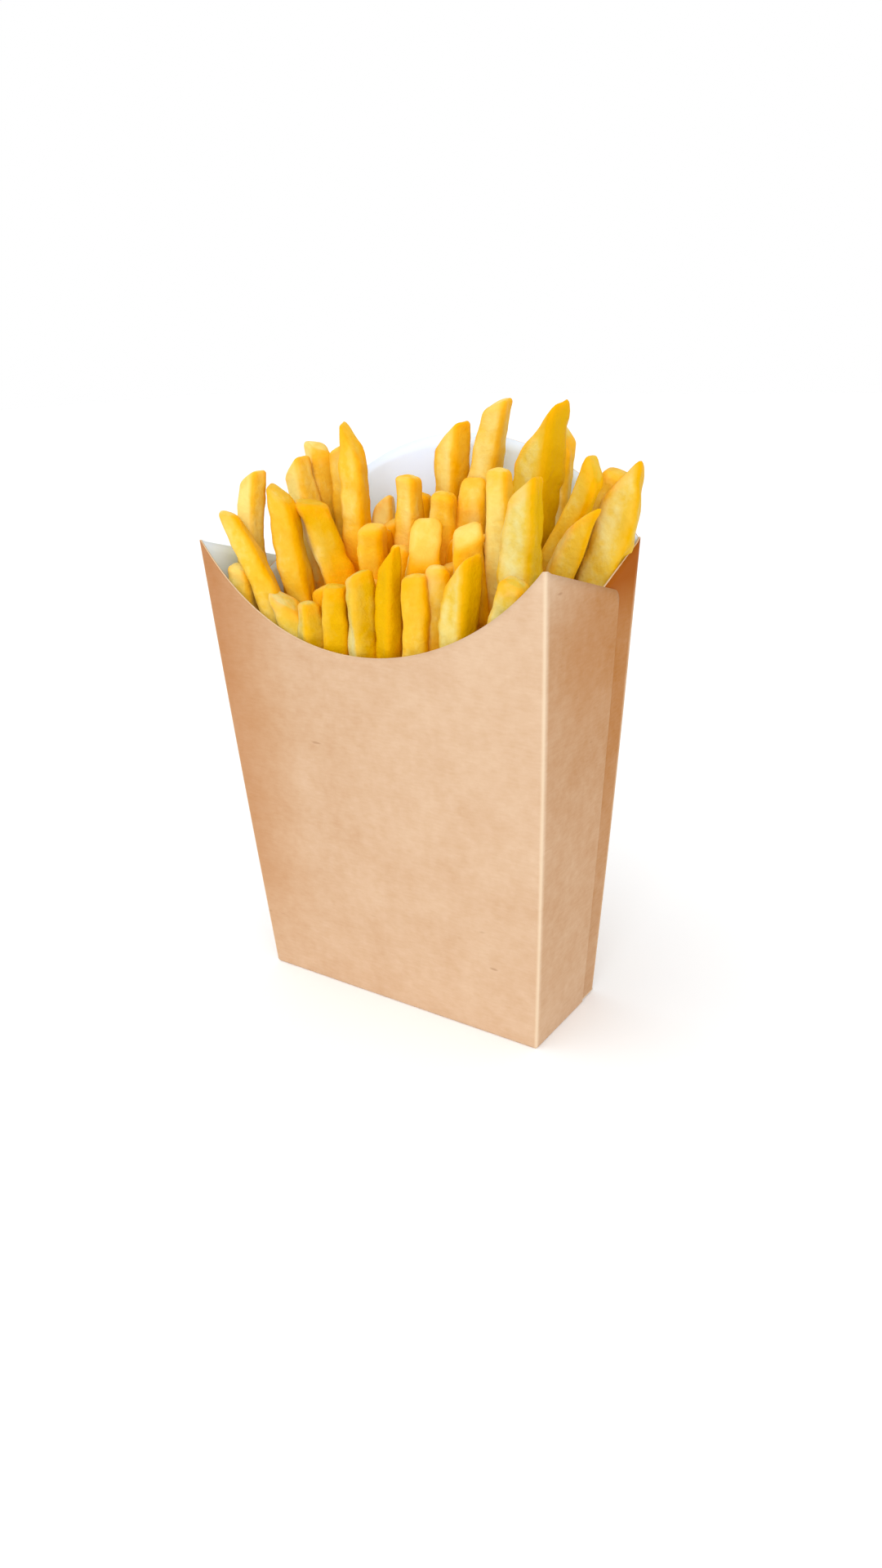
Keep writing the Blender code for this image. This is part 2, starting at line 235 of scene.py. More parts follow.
core, tree = new_material("cut_board_edge")
place = add(tree, "ShaderNodeTexCoord").outputs["Object"]
pressed = add(tree, "ShaderNodeTexNoise", {"Vector": place, "Scale": 1 / (PLY * MM), "Detail": 2.0})
plies = add(tree, "ShaderNodeMix", {0: pressed.outputs["Fac"], 6: linear("#d2b189"), 7: linear("#e6cfae")},
            data_type="RGBA")
surface = add(tree, "ShaderNodeBsdfPrincipled", {
    "Base Color": plies.outputs[2], "Roughness": 0.85, "IOR": 1.5, "Specular IOR Level": 0.2})
add(tree, "ShaderNodeOutputMaterial", {"Surface": surface.outputs[0]})
print("board materials:", kraft.name, clay.name, core.name)

# %% [markdown]
# ## The folded blank
# The carton is one die-cut blank. Its front and back panels taper towards the base, and each has a flap at
# both sides. The front's flaps are glued over the back's. Each half is a grid of columns, which rise from
# the foot to a top of their own. A column keeps its share of the carton's width and depth at every height,
# so it follows the taper, and the slight swell of a full carton's sides. Along the front the tops follow a
# falling arc, along the back a rising one.

# %% Sizes of the carton
BASE_WIDTH, BASE_DEPTH = 85.4, 32.2
MOUTH_WIDTH, MOUTH_DEPTH = 97.8, 47.4
CORNER_HEIGHT, SCOOP_HEIGHT, ARCH_HEIGHT = 121.0, 96.6, 143.5
SCOOP_SHIFT = -3.5    # the scoop is lowest a little left of the middle
SIDE_SWELL = 0.4      # a full carton's sides stand out by this much at half height
BOARD, FOLD_RADIUS = 0.45, 0.9
# Flaps: the share of the side that one covers, and how far its top falls for each millimetre across.
OUTER_REACH, OUTER_FALL = 0.77, 0.293
INNER_REACH, INNER_FALL = 0.90, 0.45
FLAP_START, FLAP_CORNER, FLAP_CORNER_STEPS = 0.045, 2.5, 7
LAP_CLEARANCE = 0.02
PANEL_COLUMNS, FLAP_COLUMNS, FOLD_COLUMNS, WALL_ROWS, CURL_ROWS = 73, 15, 7, 48, 5


def half_width(z):
    """Half the outside width at a height: an even taper, and a swell of sin(pi z / corner height)."""
    swell = SIDE_SWELL * np.sin(np.pi * np.clip(z / CORNER_HEIGHT, 0, 1))
    return (BASE_WIDTH + (MOUTH_WIDTH - BASE_WIDTH) * z / CORNER_HEIGHT) / 2 + swell


def half_depth(z):
    """Half the outside depth at a height: it grows evenly from base to mouth."""
    return (BASE_DEPTH + (MOUTH_DEPTH - BASE_DEPTH) * z / CORNER_HEIGHT) / 2


# %% Columns of one half
def panel_tops(middle_height, shift):
    """Share of the half width and top height along an arc through both corners and the middle height.

    The arc's x moves by shift (1 - (x / chord)^2), which takes its middle aside and leaves the corners.
    """
    rise, chord = abs(CORNER_HEIGHT - middle_height), MOUTH_WIDTH / 2
    radius = (chord**2 + rise**2) / (2 * rise)
    angle = np.arcsin(chord / radius) * np.sin(np.linspace(-0.5, 0.5, PANEL_COLUMNS) * np.pi)
    top = middle_height + np.sign(CORNER_HEIGHT - middle_height) * radius * (1 - np.cos(angle))
    x = radius * np.sin(angle)
    return (x + shift * (1 - (x / chord) ** 2)) / half_width(top), top


def flap_tops(reach, fall):
    """Share of the side's depth and top height along a flap: an even fall, then a rounded corner."""
    corner = FLAP_CORNER / MOUTH_DEPTH
    bend = np.radians(np.linspace(0, 90, FLAP_CORNER_STEPS + 1))[1:]
    even = np.linspace(FLAP_START, reach - corner, FLAP_COLUMNS)
    share = np.concatenate((even, reach - corner * (1 - np.sin(bend))))
    slope, side = (MOUTH_DEPTH - BASE_DEPTH) / CORNER_HEIGHT / 2, 1 - 2 * share
    top = (CORNER_HEIGHT - fall * (MOUTH_DEPTH - BASE_DEPTH * side) / 2) / (1 - fall * slope * side)
    past = np.clip((share - reach + corner) / corner, 0, 1)
    return share, top - FLAP_CORNER * (1 - np.sqrt(1 - past**2))


Columns = namedtuple("Columns", "across out deep back top share")


def half_columns(middle_height, shift, reach, fall):
    """Columns from the left flap's end, round the left fold, along the panel, to the right flap's end.

    across and deep are shares of the carton's own half width and half depth, so they follow its taper. out
    and back are the fold's quarter circle in millimetres. share runs along a flap and is 0 on the panel.
    """
    across, top = panel_tops(middle_height, shift)
    bend = np.radians(np.linspace(0, 90, FOLD_COLUMNS))[1:]
    share, flap_top = flap_tops(reach, fall)
    zero, one = np.zeros, np.ones
    right = np.stack((
        np.concatenate((one(len(bend)), one(len(share)))),
        np.concatenate((FOLD_RADIUS * np.sin(bend), np.full(len(share), FOLD_RADIUS))),
        np.concatenate((one(len(bend)), 1 - 2 * share)),
        np.concatenate((FOLD_RADIUS * (1 - np.cos(bend)), zero(len(share)))),
        np.concatenate((np.full(len(bend), CORNER_HEIGHT), flap_top)),
        np.concatenate((zero(len(bend)), share))))
    panel = np.stack((across, zero(PANEL_COLUMNS), one(PANEL_COLUMNS), zero(PANEL_COLUMNS), top,
                      zero(PANEL_COLUMNS)))
    left = right[:, ::-1] * np.array((-1, -1, 1, 1, 1, 1))[:, None]
    return Columns(*np.concatenate((left, panel, right), axis=1))


def on_half(columns, z, inset_x, inset_y):
    """x = across (half width - inset - fold) + out, y = back - deep (half depth - inset)."""
    x = columns.across * (half_width(z) - inset_x - FOLD_RADIUS) + columns.out
    y = columns.back - columns.deep * (half_depth(z) - inset_y)
    return np.stack((x, y, np.broadcast_to(z, x.shape)), -1)


front_columns = half_columns(SCOOP_HEIGHT, SCOOP_SHIFT, OUTER_REACH, OUTER_FALL)
back_columns = half_columns(ARCH_HEIGHT, 0.0, INNER_REACH, INNER_FALL)
print("columns in each half:", len(front_columns.top))
print("the scoop's lowest point is at", round(front_columns.top.min(), 1), "mm")

# %% [markdown]
# ## Bends, wear and painted light
# A filled carton isn't perfectly flat: its panels belly out by a fraction of a millimetre and ripple a
# little. At the foot the board turns under the base. Wear and painted light are stored as attributes beside
# the shape, because they follow the folds and edges: the pulp is pale along each crease, from worn fibres and
# a painted highlight; the flaps are darker than the panels, which is painted shade on the carton's sides; and
# the board is deeper where oil has soaked in from the fries and where painted shade lies beside them.

# %% Build the two halves
CURL_RADIUS = 0.7
BELLY, BELLY_POWER, RIPPLE = 0.30, 1.5, 0.07
RIPPLE_WAVES = ((7.0, 19.0), (31.0, 13.0))    # mm per radian across and up, for two slanting waves
# The pale line along each fold is worn fibres and a painted highlight.
CREASE, CREASE_MIDDLE, CREASE_SPREAD = 0.7, 45, 26    # how pale, and where in the fold's 90 degrees


def half_points(columns, inset, turned):
    """A curl from the base's underside up to the wall, then even steps up to the tops.

    The panel bellies out by a power of the height's sine, and ripples by the product of two slanting waves.
    """
    curl = np.radians(np.linspace(0, 90, CURL_ROWS))[:, None]
    rise = np.concatenate((CURL_RADIUS * (1 - np.cos(curl)), np.full((WALL_ROWS, 1), CURL_RADIUS)))
    under = np.concatenate((CURL_RADIUS * (1 - np.sin(curl)), np.zeros((WALL_ROWS, 1))))
    climb = np.concatenate((np.zeros((CURL_ROWS, 1)), np.linspace(0, 1, WALL_ROWS + 1)[1:, None]))
    z = rise + climb * (columns.top - CURL_RADIUS)
    points = on_half(columns, z, inset + under, under)
    on_panel = np.clip(1 - columns.across**2, 0, 1) * (columns.deep >= 1)
    belly = BELLY * on_panel * np.sin(np.pi * np.clip(z / CORNER_HEIGHT, 0, 1)) ** BELLY_POWER
    first, second = (np.sin(points[..., 0] / across + z / up) for across, up in RIPPLE_WAVES)
    points[..., 1] -= belly + RIPPLE * on_panel * first * second
    return points * np.array((-1, -1, 1)) if turned else points


def half_wear(columns, points, turned):
    """tone: how pale the pulp is, with painted light and shade in it. pale_crease_and_highlight: stretched
    fibres at the folds, and a painted highlight. oil_and_shade: oil from the fries, and painted shade.

    The back half has it on its flaps, more towards the top, and most at their tips beside the mouth, where it
    is painted orange shade beside the fries. The front half has it down its left side, as painted shade, and
    in a soft darker spot on its flaps.
    """
    z = points[..., 2]
    across = points[..., 0] / half_width(z)
    high = z / CORNER_HEIGHT
    on_flap = columns.share > 0
    bend = np.degrees(np.arcsin(np.clip(np.abs(columns.out) / FOLD_RADIUS, 0, 1)))
    # Pale along the middle of each fold: worn fibres, and a painted highlight.
    stretched_and_lit = np.exp(-(((bend - CREASE_MIDDLE) / CREASE_SPREAD) ** 2)) * ~on_flap * (bend > 0)
    if turned:
        # Painted shade: the back's flaps, seen on the carton's sides, are darker than the panels, and darker
        # towards the top.
        flap_tone = 0.45 - 0.35 * high
        # Painted orange shade at the flaps' tips beside the fries.
        tips = np.clip((z - 98) / 19, 0, 1) ** 1.2 * np.clip((np.abs(across) - 0.86) / 0.12, 0, 1)
        oil_and_shade = np.where(on_flap, 0.34 * np.clip((z - 30) / 50, 0, 1), 0.05) + 0.9 * tips
    else:
        # Painted highlight: a lighter band along the top of the front's flaps. Painted shade: the flaps are
        # darker than the panel, and darker towards the top and the back.
        near_top = np.clip((z - 106) / 12, 0, 1) * (1 - 2 * columns.share)
        flap_tone = 0.66 - 0.27 * high - 0.25 * columns.share * high + 0.4 * near_top
        spot = 0.3 * np.clip(columns.share * 3, 0, 1) * np.exp(-(((z - 100) / 15) ** 2))
        # Painted shade: the front turns a deeper orange towards its left side, more so towards the top.
        left = 1.4 * np.clip(-across - 0.5, 0, 0.44) * (0.45 + 0.55 * high) * np.clip(z / 30, 0, 1)
        oil_and_shade = np.where(on_flap, spot, left)
    # Painted light: each panel is lighter towards the carton's right, most near the top.
    tone = np.where(on_flap, flap_tone, 0.73 + across * (0.02 + 0.13 * high))
    return {"tone": tone, "pale_crease_and_highlight": stretched_and_lit * CREASE + 0 * z, "oil_and_shade": oil_and_shade}


def thicken(piece, even=False):
    """Gives a sheet its board thickness, inwards: clay on the inside, the cream core along the cut edges."""
    board = piece.modifiers.new("board", "SOLIDIFY")
    board.thickness, board.offset = BOARD * MM, -1.0
    board.use_even_offset = board.use_quality_normals = even
    board.material_offset, board.material_offset_rim = 1, 2
    return piece


def make_half(name, columns, inset, turned):
    """One half of the carton: inset brings the back half's flaps inside the front's, turned faces it back."""
    points = half_points(columns, inset, turned)
    faces = grid_faces(*points.shape[:2])
    wear = half_wear(columns, points, turned)
    return thicken(make_piece(name, points, faces, (kraft, clay, core), wear), even=True)


front_half = make_half("carton_front_half", front_columns, inset=0.0, turned=False)
back_half = make_half("carton_back_half", back_columns, inset=BOARD + LAP_CLEARANCE, turned=True)

# %% [markdown]
# ## Base
# The base closes the carton with two panels that overlap. The outer one comes from the front and carries
# the carton, and the inner one comes from the back and lies on it. Each is a thin sheet again, so that the
# lap shows from below as a real step of one board.

# %% Build the base
LAP = 0.25    # share of the depth that each panel reaches past the middle
BASE_INSET, BASE_LIFT, BASE_TONE = 0.6 * CURL_RADIUS, 0.02, 0.5
BASE_COLUMNS, BASE_ROWS = 33, 13


def base_panel(name, y_from, y_to, z):
    """A flat sheet between two depths, as wide as the curled foot leaves open."""
    across, deep = np.meshgrid(np.linspace(-1, 1, BASE_COLUMNS), np.linspace(0, 1, BASE_ROWS))
    x = across * (BASE_WIDTH / 2 - BASE_INSET)
    y = y_from + (y_to - y_from) * deep
    points = np.stack((x, y, z + 0 * x), -1)
    faces = grid_faces(BASE_ROWS, BASE_COLUMNS)[:, ::-1]
    wear = {"tone": BASE_TONE + 0 * x, "pale_crease_and_highlight": 0 * x, "oil_and_shade": 0 * x}
    return thicken(make_piece(name, points, faces, (kraft, clay, core), wear))


inner_depth = BASE_DEPTH / 2 - BASE_INSET
outer_base = base_panel("carton_base_outer", -inner_depth, LAP * BASE_DEPTH, BASE_LIFT)
inner_base = base_panel("carton_base_inner", -LAP * BASE_DEPTH, inner_depth, BASE_LIFT + BOARD)

for piece in (front_half, back_half, outer_base, inner_base):
    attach(piece, "root")
    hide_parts("carton")

# %% [markdown]
# ## Fried potato
# Fried potato is a thin, dry golden crust over a pale and slightly see-through inside. Light enters,
# spreads about a millimetre and comes back deeper in colour. Between the fries it bounces from one to the
# next; here the buried parts are painted a deeper orange, as painted shade. One side of each fry is painted a
# deeper gold, as painted shade on the side turned from the light. Cut ends are paler with a deeper rim,
# corners brown first, and browning is uneven in patches drawn out along the fry. The crust has small blisters
# from the steam, and the oil leaves it only slightly glossy.

# %% Material of the fries
PATCH, BLISTER, GRAIN = 6.0, 1.6, 0.5    # mm: uneven browning, steam blisters, and the crust's fine grain
PATCH_SHARE, BLISTER_SHARE, PALE_START, PALER_START = 2.8, 0.9, 1.85, 0.9
BROWNING, BLISTER_HEIGHT = 0.9, 3.0      # blisters stand three times as high as the grain
UPRIGHT_PATCHES = (1.0, 1.0, 0.4)        # draws the patches out along the fries, which stand nearly upright
# What two kinds of potato flesh pass on of red, green and blue.
GOLDEN_FLESH, LEMON_FLESH = (0.97, 0.97, 0.58, 1.0), (0.81, 0.93, 0.85, 1.0)

potato, tree = new_material("fried_potato_crust")
place = add(tree, "ShaderNodeTexCoord").outputs["Object"]
tone = add(tree, "ShaderNodeAttribute", attribute_name="tone").outputs["Fac"]
edge = add(tree, "ShaderNodeAttribute", attribute_name="edge").outputs["Fac"]
cut = add(tree, "ShaderNodeAttribute", attribute_name="cut").outputs["Fac"]
lemon = add(tree, "ShaderNodeAttribute", attribute_name="lemon").outputs["Fac"]
streaks = add(tree, "ShaderNodeMapping", {"Vector": place, "Scale": UPRIGHT_PATCHES})
patch = add(tree, "ShaderNodeTexNoise", {
    "Vector": streaks.outputs[0], "Scale": 1 / (PATCH * MM), "Detail": 2.0})
blister = add(tree, "ShaderNodeTexNoise", {"Vector": place, "Scale": 1 / (BLISTER * MM), "Detail": 2.0})
grain = add(tree, "ShaderNodeTexNoise", {"Vector": place, "Scale": 1 / (GRAIN * MM), "Detail": 2.0})
pale = tone
for pattern, share in ((patch, PATCH_SHARE), (blister, BLISTER_SHARE)):
    pale = add(tree, "ShaderNodeMath", {0: pattern.outputs["Fac"], 1: share, 2: pale},
               operation="MULTIPLY_ADD").outputs[0]
pale = add(tree, "ShaderNodeMath", {0: pale, 1: PALE_START}, operation="SUBTRACT")
golden = add(tree, "ShaderNodeMix", {0: pale.outputs[0], 6: linear("#eead00"), 7: linear("#f1c04b")},
             data_type="RGBA")
paler = add(tree, "ShaderNodeMath", {0: pale.outputs[0], 1: PALER_START},
            operation="SUBTRACT", use_clamp=True)
crust = add(tree, "ShaderNodeMix", {0: paler.outputs[0], 6: golden.outputs[2], 7: linear("#f3dba0")},
            data_type="RGBA")
flesh = add(tree, "ShaderNodeMix", {0: lemon, 6: GOLDEN_FLESH, 7: LEMON_FLESH}, data_type="RGBA")
fresh = add(tree, "ShaderNodeMix", {0: 1.0, 6: crust.outputs[2], 7: flesh.outputs[2]}, data_type="RGBA",
            blend_type="MULTIPLY")
# Deeper orange where the crust browned at corners and cut ends, and painted shade where a fry is buried in
# the heap; the core takes it in full.
brown_and_shade = add(tree, "ShaderNodeMath", {0: edge, 1: blister.outputs["Fac"]}, operation="MULTIPLY")
brown_and_shade = add(tree, "ShaderNodeMath", {0: brown_and_shade.outputs[0], 1: BROWNING}, operation="MULTIPLY", use_clamp=True)
browned_and_shaded = add(tree, "ShaderNodeMix", {0: brown_and_shade.outputs[0], 6: fresh.outputs[2], 7: linear("#ffab00")},
              data_type="RGBA")
inside = add(tree, "ShaderNodeMix", {0: cut, 6: browned_and_shaded.outputs[2], 7: linear("#f3d77c")}, data_type="RGBA")
bumps = add(tree, "ShaderNodeMath", {0: blister.outputs["Fac"], 1: BLISTER_HEIGHT, 2: grain.outputs["Fac"]},
            operation="MULTIPLY_ADD")
relief = add(tree, "ShaderNodeBump", {"Height": bumps.outputs[0], "Distance": 0.18 * MM, "Strength": 0.5})
surface = add(tree, "ShaderNodeBsdfPrincipled", {
    "Base Color": inside.outputs[2], "Roughness": 0.45, "IOR": 1.45, "Specular IOR Level": 0.05,
    "Subsurface Weight": 0.12, "Subsurface Radius": (1.0, 0.9, 0.6), "Subsurface Scale": 1.0 * MM,
    "Normal": relief.outputs[0]})
add(tree, "ShaderNodeOutputMaterial", {"Surface": surface.outputs[0]})
print("potato material:", potato.name)

# %% [markdown]
# ## Where the fries stand
# Fries are sawn from potatoes by a square grid of blades, so all have nearly the same section. What differs
# is length, lean, bend, and the end: sawn square, sawn at a slant, or left as a wedge by the potato's round
# side. Each fry that shows is placed one by one, from its foot in the heap to its tip.

# %% The placed fries
Fry = namedtuple("Fry", "foot tip bow size turn taper slope falls tone lemon cream")
# foot: x, y at FOOT_HEIGHT. tip: x, y, z. bow: sideways bend. size: side of the section. turn: degrees about
# its length. taper: size of the tip. slope: how steeply the end falls. falls: the direction it falls to, in
# degrees from +X. tone: from deep golden at 0 or below to pale at 2, in steps of 0.2; it is each fry's own
# colour, and for fries that stand in shade partly painted light that makes them paler. lemon: share of lemon
# yellow flesh, in the same steps. cream: how pale the cut end is.
FOOT_HEIGHT = 85.0
FRONT_ROW = (
    Fry((-37.2, -17), (-41.8, -17.5, 115), -1, 6.4, 20, 0.85, 0.3, 0, 1.8, 0, 0.2),
    Fry((-28.6, -15), (-45.1, -18, 128.9), 3.4, 6, 25, 0.55, 1.0, 0, 1.2, 0.2, 0),
    Fry((-19, -15), (-30.3, -17.5, 111.4), 0, 7, 30, 0.8, 1.5, 0, 1.2, 1, 0),
    Fry((-18.5, -16.5), (-20.4, -17.5, 107.2), 0, 6, -25, 0.75, 0.1, 0, 1, 1, 0),
    Fry((-12, -16.5), (-12.3, -17, 112), 0, 6.4, 30, 0.9, 0.1, 0, 0.4, 0.8, 0),
    Fry((-3.5, -16.5), (-4.2, -17.5, 116.8), 0, 6.5, -35, 0.9, 0.4, 180, 0.8, 1, 0),
    Fry((3, -16.5), (6.2, -17.5, 123.3), -1, 5.25, -10, 0.6, 1.9, 180, -0.6, 0.8, 0),
    Fry((11, -16.5), (12, -17.5, 116.5), 0, 6.2, 25, 0.95, 0.1, 180, 0.8, 0.2, 0),
    Fry((15.8, -13), (15, -13, 118), 0, 5.8, 30, 0.9, 0.1, 0, 1, 0.2, 0),
    Fry((20.4, -16), (25.2, -17, 123.2), 0, 7.1, -8, 0.9, 1.25, 180, 0.6, 0.8, 0),
    Fry((28, -15.5), (38.3, -17.5, 117.3), 0, 7, 5, 0.9, 0.1, 0, 0.6, 1, 0),
)
SECOND_ROW = (
    Fry((-42.2, -10), (-39.5, -11.5, 137.7), -2.8, 5.9, -3, 0.8, 0.8, 180, 1.8, 0, 0),
    Fry((-23.5, -9), (-34.9, -9, 134.8), -0.8, 6.9, 18, 0.85, 1.1, 0, 0.8, 0.4, 0),
    Fry((-15.5, -3), (-31, -3, 131.3), 2, 8.2, 45, 0.8, 0.7, 0, 0.8, 0.8, 0),
    Fry((-10.8, -6), (-8.4, -5, 125), 0, 6.6, 20, 0.9, 0.2, -90, 0.8, 0, 0.2),
    Fry((5, -8), (9.9, -9, 128), 0, 8.4, 35, 0.8, 1.5, -60, 0.8, 0, 0.3),
    Fry((19.8, -4.5), (21, -10, 127.5), 0, 7.8, 34, 0.9, 0.6, -90, 1, 0, 0.4),
    Fry((26.7, -4), (26.7, -5, 138.8), 0, 6.1, 14, 0.8, 0.1, 0, 1.4, 0, 0),
    Fry((32.2, -10), (37.4, -11, 139), 0, 8.3, 5, 0.7, 1.1, 180, 0.8, 1, 0),
)
THIRD_ROW = (
    Fry((-28, 3), (-39.3, 4, 139), 0, 7.1, -5, 0.85, 0.9, 180, 2, 0, 0),
    Fry((-21, 4), (-22.2, 5, 148.5), 0.9, 6.6, 12, 0.7, 2.0, 0, 0.8, 0, 0),
    Fry((-5, 2), (-3, 3, 135.4), 0, 5.9, 0, 0.9, 0.1, 0, 1.2, 0, 0),
    Fry((5, 3), (7, 3, 132), 0, 7, 20, 0.8, 0.1, 0, 1, 0, 0),
    Fry((23.2, 4), (46, 3, 132.2), 0, 6.1, 30, 0.7, 1.7, 180, 1, 0.4, 0),
    Fry((10, 10), (11.5, 8, 135), 0, 7.6, 20, 0.8, 1.0, -70, 0.8, 0, 0.1),
)
BACK_ROW = (
    Fry((-31.5, 12), (-37.4, 11, 142.8), 0, 7.4, -30, 0.78, 0.6, 0, 1.2, 0.2, 0),
    Fry((-24, 10), (-30.1, 10, 141.3), 0, 6, 20, 0.8, 0.4, 180, 0.8, 0, 0),
    Fry((-17, 12), (-18, 12, 129.8), 0, 6, 20, 0.8, 0.8, 180, 2.4, 0, 0),
    Fry((-9, 15), (-9, 16, 129.5), 0, 6, 10, 0.8, 0.1, 0, 0, 0, 0),
    Fry((-3.2, 13), (3.4, 15, 148.3), -0.6, 6.9, -8, 0.93, 1.1, 180, 0.8, 0, 0),
    Fry((8, 16), (15.8, 15, 153.3), -4, 7.7, 12, 0.65, 0.8, 200, 1.2, 0.2, 0),
    Fry((19.5, 12), (31, 12, 154), -1, 10.5, -11, 0.6, 2.3, 180, 0.4, 1, 0),
    Fry((26, 17), (30.4, 17.5, 150), 0, 7.5, 10, 0.7, 1.4, 0, 1.8, 0.6, 0),
    Fry((19, 7), (45, 8, 140.4), 0, 5.9, 5, 0.8, 1.2, 0, 0.4, 0.8, 0),
    Fry((33, 17), (44.6, 18.5, 136.5), 0, 8, 10, 0.9, 0.1, 0, 0.6, 0.4, 0),
    Fry((26.5, 8.5), (47, 19, 139.6), 5.2, 9.6, 15, 0.6, 1.6, 180, 1, 0.8, 0),
)
placed = FRONT_ROW + SECOND_ROW + THIRD_ROW + BACK_ROW
print("placed fries:", len(placed), "longest reaches", max(fry.tip[2] for fry in placed), "mm")

# %% [markdown]
# ## Short fries between them
# A full carton has no holes. Shorter fries fill the places between the tall ones, lower towards the walls.
# Their places come from a seeded sequence, so that every run gives the same heap.

# %% The filling fries
FILLER_ROWS = (-15, -10, -5, 0, 5, 10, 15)
FILLER_COLUMNS, FILLER_STEP, FILLER_SPACING = 22, 1.8, 6.0
FILLER_LEVEL, FILLER_TOP, FILLER_MIDDLE = 100.0, 127.0, 4.0
FILLER_SHAPE = {"bow": 0, "taper": 0.85, "slope": 0.3, "tone": 0.2, "lemon": 0, "cream": 0.3}
FILLER_LEAN = 0.05    # how much more a fry leans outwards for each millimetre from the middle
FILLER_JITTER, FILLER_SINK, FILLER_TILT, FILLER_SIZES = 0.8, 6, 2, (5.8, 7.2)    # mm, the ranges of chance
FILLER_SEED = 12
FALLS_BY_TOP = 57     # degrees for each millimetre of height, so that neighbours' ends fall different ways
FALL_ACROSS, FALL_DEEP = 22.0, 30.0


def axis_at(fry, height):
    """The centreline's x and y at a height: foot to tip, with the bow as a parabola."""
    share = (height - FOOT_HEIGHT) / (fry.tip[2] - FOOT_HEIGHT)
    x = fry.foot[0] + (fry.tip[0] - fry.foot[0]) * share + 4 * fry.bow * share * (1 - share)
    return Vector((x, fry.foot[1] + (fry.tip[1] - fry.foot[1]) * share))


def heap_height(x, y):
    """Highest near the middle, and lower towards every wall."""
    across = x / half_width(CORNER_HEIGHT)
    deep = (y - FILLER_MIDDLE) / half_depth(CORNER_HEIGHT)
    return FILLER_TOP - FALL_ACROSS * across**2 - FALL_DEEP * deep**2


def filling_fries():
    """Tries places row by row and keeps those that are far enough from every fry so far."""
    chance = random.Random(FILLER_SEED)
    taken = [axis_at(fry, FILLER_LEVEL) for fry in placed]
    found = []
    for y in FILLER_ROWS:
        for column in range(-FILLER_COLUMNS, FILLER_COLUMNS + 1):
            aside, deeper = (chance.uniform(-FILLER_JITTER, FILLER_JITTER) for _ in "xy")
            place = Vector((column * FILLER_STEP + aside, y + deeper))
            top = heap_height(place.x, place.y) - chance.uniform(0, FILLER_SINK)
            lean = chance.uniform(-FILLER_TILT, FILLER_TILT) + place.x * FILLER_LEAN
            size, turn = chance.uniform(*FILLER_SIZES), chance.uniform(0, 90)
            if min((place - other).length for other in taken) < FILLER_SPACING:
                continue
            taken.append(place)
            tip, falls = (place.x + lean, place.y, top), FALLS_BY_TOP * top
            found.append(Fry(tuple(place), tip, size=size, turn=turn, falls=falls, **FILLER_SHAPE))
    return found


fillers = filling_fries()
print("filling fries:", len(fillers))

# %% [markdown]
# ## One fry as a surface
# The section is a square with soft corners: a superellipse of a power just over 4 whose sides sink in a
# little, as they do when the inside steams and shrinks. It is carried along the bent centreline. The end is
# a plane or a steeper skin side that trims each line of the section at its own length, with a rounded rim.
# Low waves make every fry uneven, and each has its own seed. Where a fry would pass through the board it
# lies against it.

# %% The fry's surface
POWER, SUNK_SIDES, CORNER_PULL, RIM = 4.2, 0.015, 0.12, 1.5
RIM_SHARE, RIM_STEPS = 0.45, 5
FACE_RINGS = (0.75, 0.5, 0.25, 0.0)    # shares of the end face's width
DOME = (-0.14, -0.22, -0.26, -0.28)    # how far each ring stands out, as a share of the rim
WAVES = ((4, 20.0, 0.034), (5, 9.0, 0.016), (6, 4.5, 0.009))    # how many, mm long, share of the size
END_CURVE, TAPER_START, TAPER_CURVE = 1.25, 0.5, 2.2
DRIFT, TWIST = 0.35, 8    # mm aside and degrees of turn: no centreline is exact
BURIED_DEPTH, RIM_GLOW = 12, 1.6    # mm below the heap's top, and from the end, over which colours change
WALL_GAP = 0.15
# Painted shade: the side of each fry facing this many degrees from +X is painted a deeper gold, as the side
# turned from the key light.
SHADED_SIDE = 5.0    # degrees from +X: the side that lay on the hot grid is a deeper gold
Surface = namedtuple("Surface", "points tone edge cut")


def unit_section(around):
    """Superellipse: (cos, sin) / (|cos|^p + |sin|^p)^(1/p), with points drawn towards the corners."""
    angle = np.linspace(0, 2 * np.pi, around, endpoint=False)
    angle = angle - CORNER_PULL * np.sin(4 * angle)
    radius = (np.abs(np.cos(angle)) ** POWER + np.abs(np.sin(angle)) ** POWER) ** (-1 / POWER)
    radius *= 1 - SUNK_SIDES * np.cos(4 * angle)
    return angle, radius * np.cos(angle), radius * np.sin(angle)


def waves(chance, angle, length):
    """Sum of sine waves round and along the fry: long ones bend its sides, short ones dimple them."""
    height = 0
    for count, wave, size in WAVES:
        turns = chance.integers(0, 4, count)[:, None, None]
        stretch = 2 * np.pi / (wave * chance.uniform(0.7, 1.4, count))[:, None, None]
        phase = chance.uniform(0, 2 * np.pi, count)[:, None, None]
        height = height + size * np.sin(turns * angle + stretch * length + phase).sum(0)
    return 1 + height


def inside_board(points):
    """Holds x and y at the walls' inner faces below the corners, and lets them go above."""
    z = points[..., 2]
    above = np.clip(z - CORNER_HEIGHT + 3, 0, None) * 4
    limit_x = half_width(z) - 2 * BOARD - LAP_CLEARANCE - WALL_GAP + above
    limit_y = half_depth(z) - BOARD - WALL_GAP + above
    x, y = np.clip(points[..., 0], -limit_x, limit_x), np.clip(points[..., 1], -limit_y, limit_y)
    return np.stack((x, y, z), -1)


